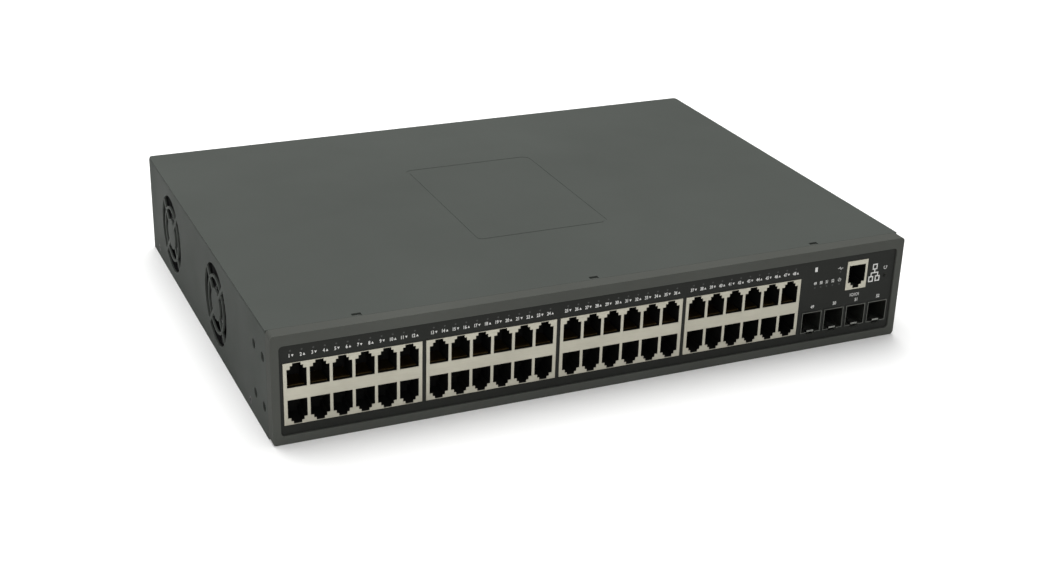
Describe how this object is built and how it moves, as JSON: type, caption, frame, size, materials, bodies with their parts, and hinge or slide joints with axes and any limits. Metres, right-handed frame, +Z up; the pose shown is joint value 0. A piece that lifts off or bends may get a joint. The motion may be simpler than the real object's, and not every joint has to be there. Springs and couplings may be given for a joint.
{
  "type": "rackmount network switch",
  "caption": "Flat rack-mount network switch in a dark grey steel case, with rows of copper sockets, optical slots, a console socket and side fans.",
  "frame": {"origin": "middle of the case's footprint, on the surface that it rests on", "axes": "+X to the right when facing the sockets, +Y towards the back, +Z up"},
  "size_m": [0.44, 0.325, 0.072],
  "materials": {
    "case_steel": "dark grey fine powder coat, satin",
    "bezel_plastic": "dark grey moulded plastic, fine spark texture",
    "overlay_film": "near-black polyester film with white print",
    "inner_steel": "zinc-plated sheet",
    "jack_plastic": "black glass-filled plastic",
    "jack_shield": "satin nickel-plated stamping",
    "contact_gold": "gold-plated spring wire",
    "cage_steel": "dull nickel-plated stamping",
    "latch_steel": "dull nickel-plated spring",
    "board_green": "solder-masked glass-fibre board",
    "power_board_tan": "bare paper-phenolic board",
    "chip_black": "black epoxy",
    "heatsink": "extruded and anodised",
    "capacitor_blue": "shrink sleeve",
    "capacitor_black": "shrink sleeve",
    "transformer_tape": "yellow polyester tape on ferrite",
    "copper": "enamelled copper wire",
    "light_pipe": "clear moulded plastic",
    "lamp_white": "pale lens",
    "switch_white": "off-white moulded plastic",
    "inlet_black": "black moulded plastic",
    "blade": "nickel-plated blade",
    "lead_red": "soft insulation",
    "lead_grey": "flat ribbon",
    "fan_plastic": "black glass-filled plastic",
    "shaft_steel": "ground steel",
    "brass": "turned brass",
    "zinc_screw": "bright zinc plate",
    "black_screw": "black zinc plate"
  },
  "bodies": {
    "case": {"base_tray": "case_steel", "top_cover": "case_steel", "front_bezel": "bezel_plastic", "front_overlay": "overlay_film", "front_panel": "inner_steel", "rear_panel": "case_steel", "jack_housing_1": "jack_plastic", "jack_housing_2": "jack_plastic", "jack_housing_3": "jack_plastic", "jack_housing_4": "jack_plastic", "jack_shields": "jack_shield", "jack_contacts": "contact_gold", "console_housing": "jack_plastic", "console_shield": "jack_shield", "sfp_cage_1": "cage_steel", "sfp_cage_2": "cage_steel", "sfp_cage_3": "cage_steel", "sfp_cage_4": "cage_steel", "sfp_connectors": "chip_black", "reset_switch": "chip_black", "main_board": "board_green", "console_board": "board_green", "led_boards": "board_green", "light_pipes": "light_pipe", "board_leds": "lamp_white", "switch_chips": "chip_black", "heatsinks": "heatsink", "phy_chips": "chip_black", "memory_chips": "chip_black", "lan_magnetics": "chip_black", "board_capacitors": "capacitor_blue", "power_board": "power_board_tan", "power_transformer": "transformer_tape", "power_capacitors": "capacitor_black", "power_heatsinks": "heatsink", "power_chokes": "copper", "power_inlet": "inlet_black", "inlet_pins": "blade", "inlet_harness": "lead_red", "power_harness": "lead_grey", "fan_frame_1": "fan_plastic", "fan_frame_2": "fan_plastic", "fan_bearings": "brass", "fan_stators": "copper", "fan_bracket": "inner_steel", "cover_screws": "zinc_screw", "countersunk_screws": "black_screw", "board_standoffs": "brass", "board_screws": "zinc_screw", "fan_screws": "zinc_screw", "ground_screw": "brass"},
    "front_fan_rotor": {"fan_rotor_1": "fan_plastic", "fan_shaft_1": "shaft_steel"},
    "rear_fan_rotor": {"fan_rotor_2": "fan_plastic", "fan_shaft_2": "shaft_steel"},
    "reset_button": {"reset_plunger": "switch_white"},
    "sfp_latch_1_body": {"sfp_latch_1": "latch_steel"},
    "sfp_latch_2_body": {"sfp_latch_2": "latch_steel"},
    "sfp_latch_3_body": {"sfp_latch_3": "latch_steel"},
    "sfp_latch_4_body": {"sfp_latch_4": "latch_steel"}
  },
  "joints": [
    {"name": "front_fan_spin", "type": "hinge", "parent": "case", "child": "front_fan_rotor", "pos_m": [-0.211, -0.0309, 0.0353], "axis": [1, 0, 0], "continuous": true},
    {"name": "rear_fan_spin", "type": "hinge", "parent": "case", "child": "rear_fan_rotor", "pos_m": [-0.211, 0.0959, 0.0353], "axis": [1, 0, 0], "continuous": true},
    {"name": "reset_press", "type": "slide", "parent": "case", "child": "reset_button", "axis": [0, 1, 0], "range_m": [0, 0.0005], "stiffness_N_per_m": 2000, "springref_m": -0.0003},
    {"name": "sfp_latch_1_flex", "type": "hinge", "parent": "case", "child": "sfp_latch_1_body", "pos_m": [0.1519, -0.1475, 0.0123], "axis": [1, 0, 0], "range_deg": [0, 4.5], "stiffness_Nm_per_rad": 0.9, "springref_deg": -0.57},
    {"name": "sfp_latch_2_flex", "type": "hinge", "parent": "case", "child": "sfp_latch_2_body", "pos_m": [0.1694, -0.1475, 0.0123], "axis": [1, 0, 0], "range_deg": [0, 4.5], "stiffness_Nm_per_rad": 0.9, "springref_deg": -0.57},
    {"name": "sfp_latch_3_flex", "type": "hinge", "parent": "case", "child": "sfp_latch_3_body", "pos_m": [0.1869, -0.1475, 0.0123], "axis": [1, 0, 0], "range_deg": [0, 4.5], "stiffness_Nm_per_rad": 0.9, "springref_deg": -0.57},
    {"name": "sfp_latch_4_flex", "type": "hinge", "parent": "case", "child": "sfp_latch_4_body", "pos_m": [0.2044, -0.1475, 0.0123], "axis": [1, 0, 0], "range_deg": [0, 4.5], "stiffness_Nm_per_rad": 0.9, "springref_deg": -0.57}
  ]
}
